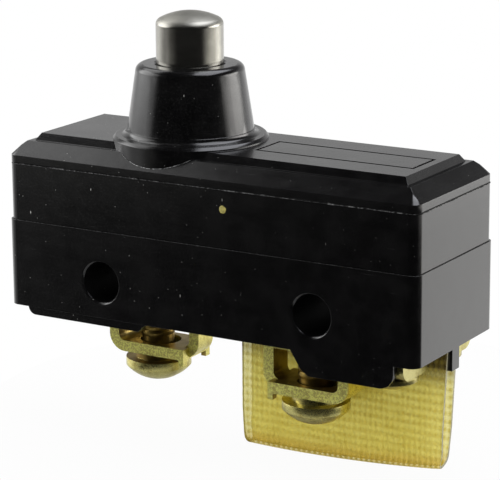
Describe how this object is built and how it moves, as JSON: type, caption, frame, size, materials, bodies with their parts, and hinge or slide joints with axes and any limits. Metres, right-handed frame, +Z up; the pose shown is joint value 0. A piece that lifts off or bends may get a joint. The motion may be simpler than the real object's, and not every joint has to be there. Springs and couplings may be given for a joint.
{
  "type": "snap action switch",
  "caption": "Snap action switch in a black moulded case with a tall overtravel plunger, screw terminals underneath and a folded glass-cloth barrier between the terminal rows.",
  "frame": {"origin": "midway between the two mounting holes, at mid-width of the case", "axes": "+X along the case towards the normally closed terminals, +Y from the front face to the back along the mounting holes, +Z up towards the plunger"},
  "size_m": [0.0492, 0.0174, 0.0462],
  "materials": {
    "case": "black moulded phenolic, satin to gloss",
    "plunger": "turned and tumbled stainless steel",
    "steel": "bright spring and screw steel",
    "actuator": "brown moulded insulation",
    "brass_strip": "stamped brass with grainy cut edges",
    "brass_screw": "bright plated brass",
    "spring_copper": "rolled copper alloy",
    "silver": "contact silver",
    "glass_cloth": "varnished woven glass cloth, translucent"
  },
  "bodies": {
    "case": {"base": "case", "cover": "case", "plunger_housing": "case", "case_screws": "steel", "return_spring": "steel", "overtravel_spring": "steel", "common_terminal": "brass_strip", "open_terminal_front": "brass_strip", "open_terminal_back": "brass_strip", "closed_terminal_front": "brass_strip", "closed_terminal_back": "brass_strip", "open_contact_front": "silver", "open_contact_back": "silver", "closed_contact_front": "silver", "closed_contact_back": "silver", "common_clamp": "brass_strip", "open_clamp_front": "brass_strip", "open_clamp_back": "brass_strip", "closed_clamp_front": "brass_strip", "closed_clamp_back": "brass_strip", "common_screw": "brass_screw", "open_screw_front": "brass_screw", "open_screw_back": "brass_screw", "closed_screw_front": "brass_screw", "closed_screw_back": "brass_screw", "barrier": "glass_cloth"},
    "plunger": {"plunger": "plunger"},
    "actuator": {"actuator": "actuator"},
    "blade_front": {"blade_front": "spring_copper", "moving_contact_front": "silver"},
    "blade_back": {"blade_back": "spring_copper", "moving_contact_back": "silver"}
  },
  "joints": [
    {"name": "plunger_press", "type": "slide", "parent": "case", "child": "plunger", "axis": [0, 0, -1], "range_m": [0, 0.005], "stiffness_N_per_m": 1000, "springref_m": -0.004, "deforming": ["return_spring", "overtravel_spring"]},
    {"name": "actuator_slide", "type": "slide", "parent": "case", "child": "actuator", "axis": [0, 0, -1], "range_m": [0, 0.00025]},
    {"name": "front_blade_snap", "type": "hinge", "parent": "case", "child": "blade_front", "pos_m": [-0.015, -0.0049, 0.0072], "axis": [0, 1, 0], "range_deg": [0, 1.5]},
    {"name": "back_blade_snap", "type": "hinge", "parent": "case", "child": "blade_back", "pos_m": [-0.015, 0.0049, 0.0072], "axis": [0, 1, 0], "range_deg": [0, 1.5]}
  ],
  "couplings": [
    {"joint": "actuator_slide", "follows": "plunger_press", "ratio": 0.0415},
    {"joint": "front_blade_snap", "follows": "plunger_press", "rad_per_m": 5},
    {"joint": "back_blade_snap", "follows": "plunger_press", "rad_per_m": 5}
  ]
}
